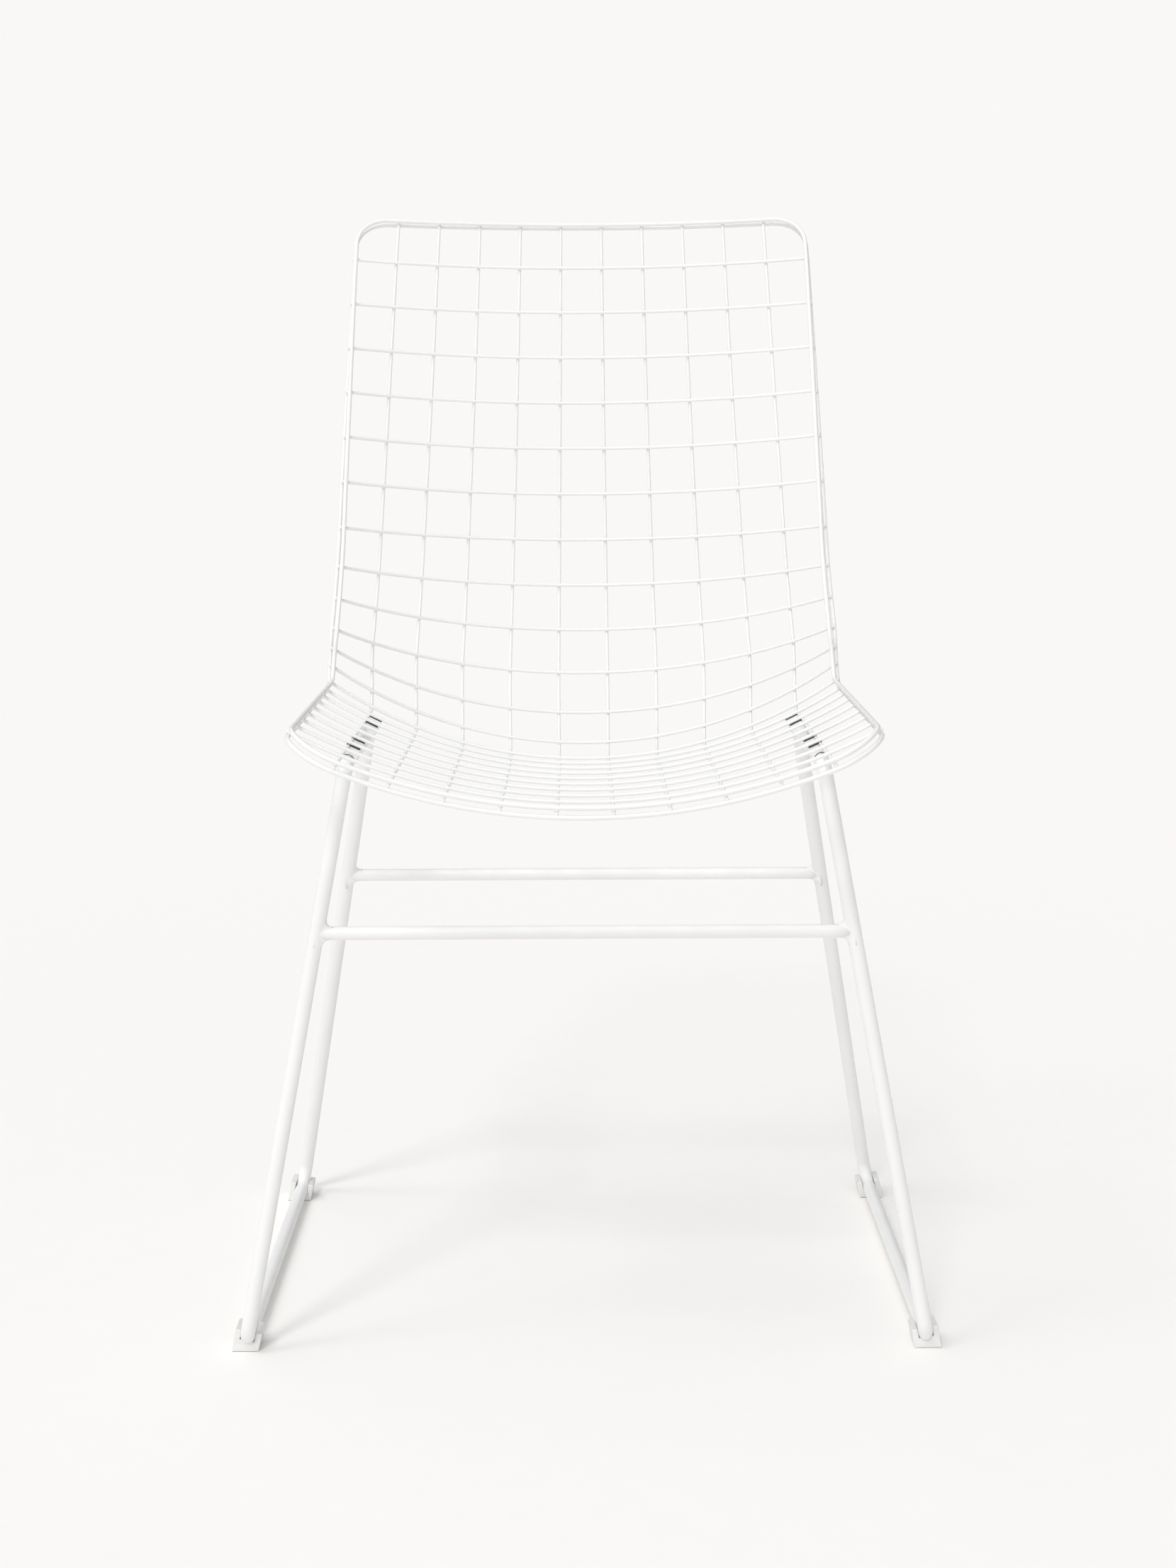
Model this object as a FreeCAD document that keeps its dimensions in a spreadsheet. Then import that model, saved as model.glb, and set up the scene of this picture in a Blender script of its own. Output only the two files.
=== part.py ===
import FreeCAD, Part
import math
import os

# A wire mesh dining chair on a sled base, in millimetres and degrees.
# +Z is up, the sitter looks towards -Y, and the origin is on the floor under the middle of the chair.
# The shell is a surface with two coordinates: a fraction, from -1 at one edge to 1 at the other,
# and a station, the distance from the seat's front edge over the seat and up the back.

Vector = FreeCAD.Vector
X_AXIS = Vector(1, 0, 0)
Y_AXIS = Vector(0, 1, 0)
Z_AXIS = Vector(0, 0, 1)
SIDES = (("left", 1), ("right", -1))

SIZES = (
    # side profile of the shell along its middle
    ("seat_front_height", 433.8),
    ("seat_run", 349.5),
    ("seat_fall", 2.4),
    ("seat_bend_radius", 109.7),
    ("back_lean_low", 33.6),
    ("back_sweep_radius", 298.6),
    ("back_lean_high", 11.5),
    ("back_run", 207.0),
    ("top_curl_run", 87.8),
    ("top_lean", 21.4),
    # the shell's half widths, between the middles of the rim rods
    ("front_half_width", 201.4),
    ("widest_half_width", 206.2),
    ("widest_station", 389.5),
    ("widest_rounding", 80.0),
    ("top_half_width", 192.8),
    # how deep each place is dished from side to side
    ("front_dish", 47.1),
    ("seat_dish", 59.8),
    ("seat_dish_station", 315.6),
    ("waist_dish", 86.1),
    ("waist_dish_station", 480.6),
    ("top_dish", 13.2),
    # the grid and its rim
    ("cross_wire_count", 21),
    ("long_wire_count", 10),
    ("wire_diameter", 2.8),
    ("rim_rod_diameter", 3.6),
    ("weld_gap", 0.1),
    ("cross_wire_overhang", 2.4),
    ("long_wire_overhang", 0.4),
    ("front_corner_radius", 40.0),
    ("top_corner_radius", 27.0),
    # the sled base
    ("frame_rod_diameter", 11.2),
    ("frame_splay", 10.9),
    ("runner_half_spacing", 255.4),
    ("runner_height", 9.3),
    ("front_foot_setback", 132.0),
    ("front_leg_lean", 2.6),
    ("rear_foot_setback", 523.5),
    ("rear_leg_lean", 26.3),
    ("foot_bend_radius", 16.0),
    ("front_top_bend_radius", 12.0),
    ("rear_top_bend_radius", 14.0),
    ("stretcher_diameter", 10.0),
    ("front_stretcher_height", 324.7),
    ("rear_stretcher_height", 320.6),
    # plastic glides round the runners
    ("glide_width", 20.0),
    ("glide_wall_rise", 6.6),
    ("glide_length", 24.0),
    ("glide_fit_gap", 0.15),
    ("glide_setback", 17.0),
    # saddle clips between the shell and the top bars
    ("front_clip_row", 18.45),
    ("rear_clip_row", 14.75),
    ("bar_drop", 15.0),
    ("clip_width", 11.4),
    ("clip_length", 46.0),
    ("clip_fit_gap", 0.15),
    ("clip_skirt_height", 3.0),
    ("screw_diameter", 4.0),
    ("screw_hole_diameter", 4.4),
    ("screw_depth", 10.6),
    ("screw_head_diameter", 7.6),
    ("screw_head_height", 2.6),
)

DISH_EASE = 1.22
ROD_SIDES = 12
SCREW_SIDES = 8
RUN_TURN = 9.0
RIM_RUN_TURN = 6.0
CORNER_RUNS = 6
PROBE = 0.5

doc = FreeCAD.newDocument("wire_mesh_chair")
sheet = doc.addObject("Spreadsheet::Sheet", "Sizes")
for row, (alias, value) in enumerate(SIZES, start=1):
    sheet.set(f"A{row}", str(value))
    sheet.setAlias(f"A{row}", alias)
doc.recompute()


def size(alias):
    return float(sheet.get(alias))


# The shell's surface


def profile_stretches():
    """Length and turn, in radians, of each stretch of the middle line, front to top."""
    low = math.radians(90 - size("back_lean_low") + size("seat_fall"))
    sweep = math.radians(size("back_lean_low") - size("back_lean_high"))
    curl = math.radians(size("back_lean_high") - size("top_lean"))
    return (
        (size("seat_run"), 0.0),
        (size("seat_bend_radius") * low, low),
        (size("back_sweep_radius") * sweep, sweep),
        (size("back_run"), 0.0),
        (size("top_curl_run"), curl),
    )


STRETCHES = profile_stretches()
SHELL_RUN = sum(length for length, turn in STRETCHES)
CROSS_COUNT = int(size("cross_wire_count"))
LONG_COUNT = int(size("long_wire_count"))
ROW_GAP = SHELL_RUN / (CROSS_COUNT + 1)


def middle_line(station):
    """The middle line's point, with y from the front edge, and its heading above level."""
    y, z = 0.0, size("seat_front_height")
    heading = -math.radians(size("seat_fall"))
    left = station
    for index, (length, turn) in enumerate(STRETCHES):
        last = index == len(STRETCHES) - 1
        step = left if last else min(left, length)
        if turn:
            radius = length / turn
            ahead = heading + step / radius
            y += radius * (math.sin(ahead) - math.sin(heading))
            z += radius * (math.cos(heading) - math.cos(ahead))
            heading = ahead
        else:
            y += step * math.cos(heading)
            z += step * math.sin(heading)
        left -= step
        if left <= 0:
            break
    return y, z, heading


def half_width(station):
    """Half the chord between the rim rods: two straight tapers with a rounded change between."""
    widest, rounding = size("widest_station"), size("widest_rounding")
    front_slope = (size("widest_half_width") - size("front_half_width")) / widest
    back_slope = (size("top_half_width") - size("widest_half_width")) / (SHELL_RUN - widest)
    past = station - widest
    if past < -rounding:
        grow = front_slope * past
    elif past > rounding:
        grow = back_slope * past
    else:
        grow = front_slope * past + (back_slope - front_slope) * (past + rounding) ** 2 / (4 * rounding)
    return size("widest_half_width") + grow


def dish(station):
    """How far the middle lies behind the chord between the edges."""
    seat, waist = size("seat_dish_station"), size("waist_dish_station")
    if station <= seat:
        return size("front_dish") + (size("seat_dish") - size("front_dish")) * station / seat
    if station <= waist:
        ease = (1 - math.cos(math.pi * (station - seat) / (waist - seat))) / 2
        return size("seat_dish") + (size("waist_dish") - size("seat_dish")) * ease
    up = (station - waist) / (SHELL_RUN - waist)
    return size("waist_dish") - (size("waist_dish") - size("top_dish")) * up**DISH_EASE


def cross_arc(station):
    """Radius and half angle of the arc across the shell."""
    width, depth = half_width(station), dish(station)
    return (width**2 + depth**2) / (2 * depth), 2 * math.atan(depth / width)


def half_girth(station):
    radius, half_angle = cross_arc(station)
    return radius * half_angle


def bare_surface(fraction, station):
    """A point of the surface, with y from the front edge."""
    radius, half_angle = cross_arc(station)
    y, z, heading = middle_line(station)
    rise = radius * (1 - math.cos(fraction * half_angle))
    side = radius * math.sin(fraction * half_angle)
    return Vector(side, y - math.sin(heading) * rise, z + math.cos(heading) * rise)


def surface_normal(fraction, station):
    """Unit normal, towards the sitter."""
    across = bare_surface(fraction + 0.01, station) - bare_surface(fraction - 0.01, station)
    along = bare_surface(fraction, station + PROBE) - bare_surface(fraction, station - PROBE)
    return across.cross(along).normalize()


ROD_OFFSET = (size("wire_diameter") + size("rim_rod_diameter")) / 2 + size("weld_gap")
LONG_OFFSET = -size("wire_diameter") - size("weld_gap")


def chair_depth_middle():
    """y of the chair's middle, from the front edge, between the outermost rim rods."""
    front = bare_surface(0, 0).y + surface_normal(0, 0).y * (LONG_OFFSET + ROD_OFFSET)
    top = surface_normal(0, SHELL_RUN) * (LONG_OFFSET - ROD_OFFSET)
    return (front + bare_surface(0, SHELL_RUN).y + top.y) / 2


MIDDLE_Y = chair_depth_middle()


def surface(fraction, station, lift=0.0):
    """A point at a lift above the surface, in the chair's own frame."""
    point = bare_surface(fraction, station) + surface_normal(fraction, station) * lift
    return point - Y_AXIS * MIDDLE_Y


def long_fraction(number):
    """The long wires divide the girth evenly, number 1 beside the edge at -X."""
    middle = (LONG_COUNT + 1) / 2
    return (number - middle) / middle


def row_station(row):
    return SHELL_RUN - row * ROW_GAP


def stations_between(first_row, last_row, largest_turn):
    """Stations at the cross wires from front to top, with more of them where the profile bends."""
    stations = [row_station(first_row)]
    for row in range(first_row - 1, last_row - 1, -1):
        start, end = row_station(row + 1), row_station(row)
        turn = abs(middle_line(end)[2] - middle_line(start)[2])
        runs = max(1, math.ceil(math.degrees(turn) / largest_turn))
        stations += [start + (end - start) * step / runs for step in range(1, runs + 1)]
    return stations


# Rods and wires


def rotation(x_direction, z_direction):
    return FreeCAD.Rotation(x_direction, Vector(), z_direction, "ZXY")


def flat_face(corners):
    return Part.Face(Part.makePolygon(corners + corners[:1]))


def six_sided_rod(name, points, diameter, facing):
    """A solid rod of straight runs, mitred at the points, one of its six flats turned to facing.

    The corners of the section lie on the diameter.
    """
    runs = [(end - start).normalize() for start, end in zip(points, points[1:])]
    across = (facing - runs[0] * facing.dot(runs[0])).normalize()
    beside = runs[0].cross(across)
    angles = [math.radians(60 * corner + 30) for corner in range(6)]
    offsets = [across * math.cos(angle) + beside * math.sin(angle) for angle in angles]
    rings = [[points[0] + offset * (diameter / 2) for offset in offsets]]
    for index, run in enumerate(runs):
        end = points[index + 1]
        following = runs[index + 1] if index + 1 < len(runs) else run
        mitre = (run + following).normalize()
        rings.append([c + run * ((end - c).dot(mitre) / run.dot(mitre)) for c in rings[-1]])
    faces = [flat_face(rings[0]), flat_face(rings[-1])]
    for near, far in zip(rings, rings[1:]):
        for this, following in zip(range(6), (1, 2, 3, 4, 5, 0)):
            faces.append(flat_face([near[this], near[following], far[following], far[this]]))
    solid = Part.makeSolid(Part.makeShell(faces))
    if solid.Volume < 0:
        solid.reverse()
    rod = doc.addObject("Part::Feature", name)
    rod.Shape = solid
    return rod


def make_cross_wire(row):
    station = row_station(row)
    reach = 1 + size("cross_wire_overhang") / half_girth(station)
    fractions = [-reach] + [long_fraction(number) for number in range(1, LONG_COUNT + 1)] + [reach]
    points = [surface(fraction, station) for fraction in fractions]
    facing = surface_normal(-reach, station)
    return six_sided_rod(f"cross_wire_{row:02d}", points, size("wire_diameter"), facing)


def make_long_wire(number):
    fraction = long_fraction(number)
    stations = stations_between(CROSS_COUNT + 1, 0, RUN_TURN)
    stations[0] -= size("long_wire_overhang")
    stations[-1] += size("long_wire_overhang")
    points = [surface(fraction, station, LONG_OFFSET) for station in stations]
    facing = surface_normal(fraction, stations[0])
    return six_sided_rod(f"long_wire_{number:02d}", points, size("wire_diameter"), facing)


def rim_points(side):
    """Half a rim rod, from the middle of the front round to the middle of the top.

    side is 1 for the rod on the sitter's side of the grid and -1 for the rod behind it. Along the
    edges the rods hold the cross wires' ends, and at the front and top the long wires' ends.
    """
    along_edge = side * ROD_OFFSET
    at_ends = LONG_OFFSET + side * ROD_OFFSET
    wires = [long_fraction(number) for number in range(LONG_COUNT // 2 + 1, LONG_COUNT + 1)]

    def corner(radius, station_at):
        turned = []
        for step in range(CORNER_RUNS + 1):
            angle = math.pi / 2 * step / CORNER_RUNS
            station = station_at(radius * (1 - math.sin(angle)))
            inset = radius * (1 - math.cos(angle)) / half_girth(station)
            lift = along_edge + (at_ends - along_edge) * math.sin(angle) ** 2
            turned.append((1 - inset, station, lift))
        return turned

    front = corner(size("front_corner_radius"), lambda inset: inset)
    top = corner(size("top_corner_radius"), lambda inset: SHELL_RUN - inset)
    front_end, top_end = front[-1][0], top[-1][0]
    places = [(fraction, 0.0, at_ends) for fraction in wires if fraction < front_end - 0.03]
    places += front[::-1]
    edge = stations_between(CROSS_COUNT + 1, 0, RIM_RUN_TURN)
    edge = [s for s in edge if front[0][1] + PROBE < s < top[0][1] - PROBE]
    places += [(1.0, station, along_edge) for station in edge]
    places += top
    places += [(fraction, SHELL_RUN, at_ends) for fraction in wires[::-1] if fraction < top_end - 0.03]
    points = [surface(*place) for place in places]
    first, last = points[0], points[-1]
    return [Vector(0, first.y, first.z)] + points + [Vector(0, last.y, last.z)]


def make_rim(name, side):
    half = six_sided_rod(name + "_half", rim_points(side), size("rim_rod_diameter"), surface_normal(0, 0))
    other = doc.addObject("Part::Mirroring", name + "_other_half")
    other.Source = half
    other.Normal = X_AXIS
    rim = doc.addObject("Part::Fuse", name)
    rim.Base = half
    rim.Tool = other
    return rim


# The sled base


def fraction_at(x, station):
    """The fraction at which the surface is x away from the middle."""
    radius, half_angle = cross_arc(station)
    return math.asin(x / radius) / half_angle


def bar_point(row):
    """Where the top bar of the frame at +X passes under a row: y, its rise in the frame and the fraction.

    The rise is measured up the leaning frame from the runner.
    """
    station = row_station(row)
    splay = math.radians(size("frame_splay"))
    x = size("runner_half_spacing")
    for _ in range(30):
        over = surface(fraction_at(x, station), station)
        height = over.z - size("bar_drop") - size("runner_height")
        x = size("runner_half_spacing") - height * math.tan(splay)
    return over.y, height / math.cos(splay), fraction_at(x, station)


def frame_placement(side):
    """Origin on the runner's middle line, Y along it and Z up the leaning frame."""
    foot = Vector(side * size("runner_half_spacing"), 0, size("runner_height"))
    return FreeCAD.Placement(foot, FreeCAD.Rotation(Y_AXIS, -side * size("frame_splay")))


def frame_corners():
    """The corners of a side frame's middle line before rounding, as y and rise: feet, then tops."""
    front_y, front_rise, _ = bar_point(size("front_clip_row"))
    rear_y, rear_rise, _ = bar_point(size("rear_clip_row"))
    slope = (rear_rise - front_rise) / (rear_y - front_y)
    feet, tops = [], []
    for end in ("front", "rear"):
        # the lean is seen from the side, so it is shared out over the frame's leaning height
        forward = math.tan(math.radians(size(f"{end}_leg_lean"))) * math.cos(math.radians(size("frame_splay")))
        foot_y = size(f"{end}_foot_setback") - MIDDLE_Y
        rise = (front_rise + slope * (foot_y - front_y)) / (1 + slope * forward)
        feet.append(Vector(foot_y, 0, 0))
        tops.append(Vector(foot_y - forward * rise, rise, 0))
    return feet[0], feet[1], tops[1], tops[0]


def rounded_loop(corners, radii):
    """Straight runs and arcs round the corners, in order."""
    count = len(corners)
    arcs = []
    for index, (corner, radius) in enumerate(zip(corners, radii)):
        back = (corners[index - 1] - corner).normalize()
        ahead = (corners[(index + 1) % count] - corner).normalize()
        half = back.getAngle(ahead) / 2
        inward = (back + ahead).normalize()
        reach = radius / math.tan(half)
        middle = corner + inward * (radius / math.sin(half) - radius)
        arcs.append((corner + back * reach, middle, corner + ahead * reach))
    edges = []
    for index, (begin, middle, end) in enumerate(arcs):
        edges.append(Part.Arc(begin, middle, end))
        edges.append(Part.LineSegment(end, arcs[(index + 1) % count][0]))
    return edges


def origin_plane(body, role):
    return next(item for item in body.Origin.OriginFeatures if item.Role == role)


def add_sketch(body, name, plane, edges, offset=0.0):
    sketch = body.newObject("Sketcher::SketchObject", name)
    sketch.AttachmentSupport = (origin_plane(body, plane), [""])
    sketch.MapMode = "FlatFace"
    sketch.AttachmentOffset = FreeCAD.Placement(Z_AXIS * offset, FreeCAD.Rotation())
    for edge in edges:
        sketch.addGeometry(edge, False)
    doc.recompute()
    return sketch


def outline(points):
    """Straight edges through the points, in order."""
    return [Part.LineSegment(start, end) for start, end in zip(points, points[1:])]


def ring(radius, sides):
    """The corners of a regular outline with a flat at the bottom, the first one again at the end."""
    turns = [2 * math.pi * (corner + 0.5) / sides - math.pi / 2 for corner in range(sides + 1)]
    return [Vector(math.cos(turn), math.sin(turn), 0) * radius for turn in turns]


def clip_frame(row, side):
    """Placement on the bar's middle line: X outwards along the shell, Y rearwards and Z square to it."""
    y, rise, fraction = bar_point(row)
    centre = frame_placement(side).multVec(Vector(0, y, rise))
    _, _, rear_top, front_top = frame_corners()
    bar = rear_top - front_top
    along = frame_placement(side).Rotation.multVec(Vector(0, bar.x, bar.y)).normalize()
    normal = surface_normal(fraction, row_station(row))
    normal.x *= side
    upward = (normal - along * normal.dot(along)).normalize()
    return FreeCAD.Placement(centre, FreeCAD.Rotation(Vector(), along, upward, "YZX"))


def make_side_frame(name, side):
    """One rod bent round in a closed loop, drilled for the clips' screws."""
    corners = frame_corners()
    foot_radius = size("foot_bend_radius")
    radii = (foot_radius, foot_radius, size("rear_top_bend_radius"), size("front_top_bend_radius"))
    body = doc.addObject("PartDesign::Body", name + "_rod")
    path = add_sketch(body, name + "_path", "YZ_Plane", rounded_loop(corners, radii))
    rod = outline(ring(size("frame_rod_diameter") / 2, ROD_SIDES))
    middle = (corners[0].x + corners[1].x) / 2
    section = add_sketch(body, name + "_section", "XZ_Plane", rod, -middle)
    pipe = body.newObject("PartDesign::AdditivePipe", name + "_pipe")
    pipe.Profile = section
    pipe.Spine = (path, [f"Edge{number}" for number in range(1, 9)])
    body.Placement = frame_placement(side)
    holes = []
    for end in ("front", "rear"):
        hole = doc.addObject("Part::Cylinder", f"{name}_{end}_hole")
        hole.setExpression("Radius", "Sizes.screw_hole_diameter / 2")
        hole.setExpression("Height", "2 * Sizes.frame_rod_diameter")
        drop = FreeCAD.Placement(Z_AXIS * -size("frame_rod_diameter"), FreeCAD.Rotation())
        hole.Placement = clip_frame(size(f"{end}_clip_row"), side) * drop
        holes.append(hole)
    both = doc.addObject("Part::Compound", name + "_holes")
    both.Links = holes
    frame = doc.addObject("Part::Cut", name)
    frame.Base = body
    frame.Tool = both
    return frame


def make_stretcher(name, end, frames):
    """A straight bar between two legs, its ends coped to them."""
    front_foot, rear_foot, rear_top, front_top = frame_corners()
    low, high = (front_foot, front_top) if end == "front" else (rear_foot, rear_top)
    height = size(f"{end}_stretcher_height") - size("runner_height")
    rise = height / math.cos(math.radians(size("frame_splay")))
    y = low.x + (high.x - low.x) * rise / high.y
    on_leg = frame_placement(1).multVec(Vector(0, y, rise))
    bar = doc.addObject("Part::Prism", name + "_bar")
    bar.Polygon = ROD_SIDES
    bar.setExpression("Circumradius", "Sizes.stretcher_diameter / 2")
    bar.Height = 2 * on_leg.x
    bar.Placement = FreeCAD.Placement(Vector(-on_leg.x, y, on_leg.z), rotation(Z_AXIS, X_AXIS))
    legs = doc.addObject("Part::Compound", name + "_legs")
    legs.Links = frames
    stretcher = doc.addObject("Part::Cut", name)
    stretcher.Base = bar
    stretcher.Tool = legs
    return stretcher


# Glides, clips and screws


def make_glide(name, side, y):
    """A plastic channel pushed up round the runner, flat on the floor, its walls in line with the frame."""
    splay = math.radians(size("frame_splay"))
    centre = Vector(side * size("runner_half_spacing"), size("runner_height"), 0)
    up = Vector(-side * math.sin(splay), math.cos(splay), 0)
    out = Vector(up.y, -up.x, 0)
    bed = ring(size("frame_rod_diameter") / 2 + size("glide_fit_gap"), ROD_SIDES)
    bed = [centre + out * corner.x + up * corner.y for corner in bed if corner.y < 0]
    bed = sorted(bed, key=lambda corner: corner.dot(out))
    half, rise = size("glide_width") / 2, size("glide_wall_rise")
    corners = []
    for wall, lip in ((centre - out * half, bed[0]), (centre + out * half, bed[-1])):
        corners.append(wall - up * (wall.y / up.y))
        corners.append(wall + up * rise)
        corners.append(lip + up * (rise - (lip - centre).dot(up)))
    edges = outline(corners[:3] + bed + corners[:2:-1] + corners[:1])
    body = doc.addObject("PartDesign::Body", name)
    profile = add_sketch(body, name + "_outline", "XZ_Plane", edges)
    pad = body.newObject("PartDesign::Pad", name + "_pad")
    pad.Profile = profile
    pad.setExpression("Length", "Sizes.glide_length")
    pad.Midplane = True
    body.Placement = FreeCAD.Placement(Vector(0, y, 0), FreeCAD.Rotation())
    return body


def make_seat_clip(name, row, side):
    """A nylon saddle on the top bar: the cross wires lie on it and its step holds the long wire."""
    place = clip_frame(row, side)
    station = row_station(row)
    gap = size("clip_fit_gap")
    back_to_local = place.inverse()
    over = surface(bar_point(row)[2], station)
    over.x *= side
    wire = surface(long_fraction(LONG_COUNT), station, LONG_OFFSET)
    wire.x *= side
    crest = back_to_local.multVec(over).z - size("wire_diameter") / 2 - 2 * gap
    at_wire = back_to_local.multVec(wire)
    step_floor = at_wire.z - size("wire_diameter") / 2 - 2 * gap
    bore = size("frame_rod_diameter") / 2 + gap
    half, skirt = size("clip_width") / 2, size("clip_skirt_height")
    inner = math.sqrt(bore**2 - skirt**2)
    step = side * (abs(at_wire.x) - size("wire_diameter") / 2 - 2 * gap)
    points = [
        Vector(-side * inner, skirt, 0),
        Vector(-side * half, skirt, 0),
        Vector(-side * half, crest, 0),
        Vector(step, crest, 0),
        Vector(step, step_floor, 0),
        Vector(side * half, step_floor, 0),
        Vector(side * half, skirt, 0),
        Vector(side * inner, skirt, 0),
    ]
    edges = outline(points)
    edges.append(Part.Arc(points[-1], Vector(0, bore, 0), points[0]))
    body = doc.addObject("PartDesign::Body", name)
    profile = add_sketch(body, name + "_outline", "XZ_Plane", edges)
    pad = body.newObject("PartDesign::Pad", name + "_pad")
    pad.Profile = profile
    pad.setExpression("Length", "Sizes.clip_length")
    pad.Midplane = True
    doc.recompute()
    hole_outline = outline(ring(size("screw_diameter") / 2 + 2 * gap, SCREW_SIDES))
    hole = add_sketch(body, name + "_screw_hole", "XY_Plane", hole_outline)
    pocket = body.newObject("PartDesign::Pocket", name + "_screw_pocket")
    pocket.Profile = hole
    pocket.Length = size("screw_depth") + gap
    pocket.Reversed = True
    body.Placement = place
    return body


def make_clip_screws(name):
    """Four screws from below through the bars, each head under its bar and its end in a clip."""
    screws = []
    for hand, side in SIDES:
        for end in ("front", "rear"):
            stem = f"{name}_{end}_{hand}"
            place = clip_frame(size(f"{end}_clip_row"), side)
            under = -size("frame_rod_diameter") / 2 - size("clip_fit_gap")
            shank = doc.addObject("Part::Prism", stem + "_shank")
            shank.Polygon = SCREW_SIDES
            shank.setExpression("Circumradius", "Sizes.screw_diameter / 2")
            shank.Height = size("screw_depth") - under
            shank.Placement = place * FreeCAD.Placement(Vector(0, 0, under), FreeCAD.Rotation())
            head = doc.addObject("Part::Prism", stem + "_head")
            head.Polygon = ROD_SIDES
            head.setExpression("Circumradius", "Sizes.screw_head_diameter / 2")
            head.setExpression("Height", "Sizes.screw_head_height")
            low = Vector(0, 0, under - size("screw_head_height"))
            head.Placement = place * FreeCAD.Placement(low, FreeCAD.Rotation())
            screw = doc.addObject("Part::Fuse", stem)
            screw.Base = shank
            screw.Tool = head
            screws.append(screw)
    group = doc.addObject("Part::Compound", name)
    group.Links = screws
    return group


# The whole chair


def make_chair():
    """Every sub-part by the name of its file."""
    parts = {}
    for hand, side in SIDES:
        name = f"side_frame_{hand}"
        parts[name] = make_side_frame(name, side)
    frames = list(parts.values())
    for end in ("front", "rear"):
        parts[f"{end}_stretcher"] = make_stretcher(f"{end}_stretcher", end, frames)
    parts["upper_rim"] = make_rim("upper_rim", 1)
    parts["lower_rim"] = make_rim("lower_rim", -1)
    for row in range(1, CROSS_COUNT + 1):
        parts[f"cross_wire_{row:02d}"] = make_cross_wire(row)
    for number in range(1, LONG_COUNT + 1):
        parts[f"long_wire_{number:02d}"] = make_long_wire(number)
    front_glide = size("front_foot_setback") + size("glide_setback")
    rear_glide = size("rear_foot_setback") - size("glide_setback")
    for hand, side in SIDES:
        for end, y in (("front", front_glide), ("rear", rear_glide)):
            name = f"glide_{end}_{hand}"
            parts[name] = make_glide(name, side, y - MIDDLE_Y)
            name = f"seat_clip_{end}_{hand}"
            parts[name] = make_seat_clip(name, size(f"{end}_clip_row"), side)
    parts["clip_screws"] = make_clip_screws("clip_screws")
    return parts


def check_objects():
    for item in doc.Objects:
        if "Invalid" in item.State or "Error" in item.State:
            raise RuntimeError(f"{item.Name} did not build: {item.State}")


def check_part(name, shape):
    if shape.isNull() or not shape.isValid():
        raise RuntimeError(f"{name} has no valid shape")
    wanted = 4 if name == "clip_screws" else 1
    if len(shape.Solids) != wanted:
        raise RuntimeError(f"{name} has {len(shape.Solids)} solids and not {wanted}")


chair = make_chair()
doc.recompute()
check_objects()
for name, item in chair.items():
    item.Label = name
    check_part(name, item.Shape)

os.makedirs("parts", exist_ok=True)
box = FreeCAD.BoundBox()
for name, item in chair.items():
    item.Shape.exportStep(f"parts/{name}.step")
    box.add(item.Shape.BoundBox)
print(f"{len(chair)} parts, box {box.XLength:.1f} x {box.YLength:.1f} x {box.ZLength:.1f}")
print(f"y from {box.YMin:.2f} to {box.YMax:.2f}, z from {box.ZMin:.2f} to {box.ZMax:.2f}")
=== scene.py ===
import math
import random

import bmesh
import bpy
from mathutils import Matrix, Vector


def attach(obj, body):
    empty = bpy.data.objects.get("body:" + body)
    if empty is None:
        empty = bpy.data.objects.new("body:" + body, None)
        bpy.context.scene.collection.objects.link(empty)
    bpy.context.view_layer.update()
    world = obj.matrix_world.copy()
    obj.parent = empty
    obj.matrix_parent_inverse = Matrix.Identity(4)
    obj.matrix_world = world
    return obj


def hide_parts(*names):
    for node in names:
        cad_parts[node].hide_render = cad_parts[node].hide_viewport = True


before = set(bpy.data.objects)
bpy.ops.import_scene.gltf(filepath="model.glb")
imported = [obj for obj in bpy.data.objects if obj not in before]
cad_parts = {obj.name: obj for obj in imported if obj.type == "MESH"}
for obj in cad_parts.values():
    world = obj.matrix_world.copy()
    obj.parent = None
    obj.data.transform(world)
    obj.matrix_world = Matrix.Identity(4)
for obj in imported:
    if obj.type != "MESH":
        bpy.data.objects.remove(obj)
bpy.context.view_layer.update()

# The looks of a wire mesh dining chair. Lengths are worked out in millimetres from the same named
# sizes as the solids, angles in radians, and every mesh is made in metres.

MM = 0.001
SIDES = (("left", 1), ("right", -1))

# side profile of the shell along its middle
SEAT_FRONT_HEIGHT = 433.8
SEAT_RUN = 349.5
SEAT_FALL = math.radians(2.4)
SEAT_BEND_RADIUS = 109.7
BACK_LEAN_LOW = math.radians(33.6)
BACK_SWEEP_RADIUS = 298.6
BACK_LEAN_HIGH = math.radians(11.5)
BACK_RUN = 207.0
TOP_CURL_RUN = 87.8
TOP_LEAN = math.radians(21.4)
# half widths and dish
FRONT_HALF_WIDTH = 201.4
WIDEST_HALF_WIDTH = 206.2
WIDEST_STATION = 389.5
WIDEST_ROUNDING = 80.0
TOP_HALF_WIDTH = 192.8
FRONT_DISH = 47.1
SEAT_DISH = 59.8
SEAT_DISH_STATION = 315.6
WAIST_DISH = 86.1
WAIST_DISH_STATION = 480.6
TOP_DISH = 13.2
DISH_EASE = 1.22
# grid and rim
CROSS_COUNT = 21
LONG_COUNT = 10
WIRE = 2.8
RIM_ROD = 3.6
WELD_GAP = 0.1
CROSS_OVERHANG = 2.4
LONG_OVERHANG = 0.4
FRONT_CORNER = 40.0
TOP_CORNER = 27.0
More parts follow.
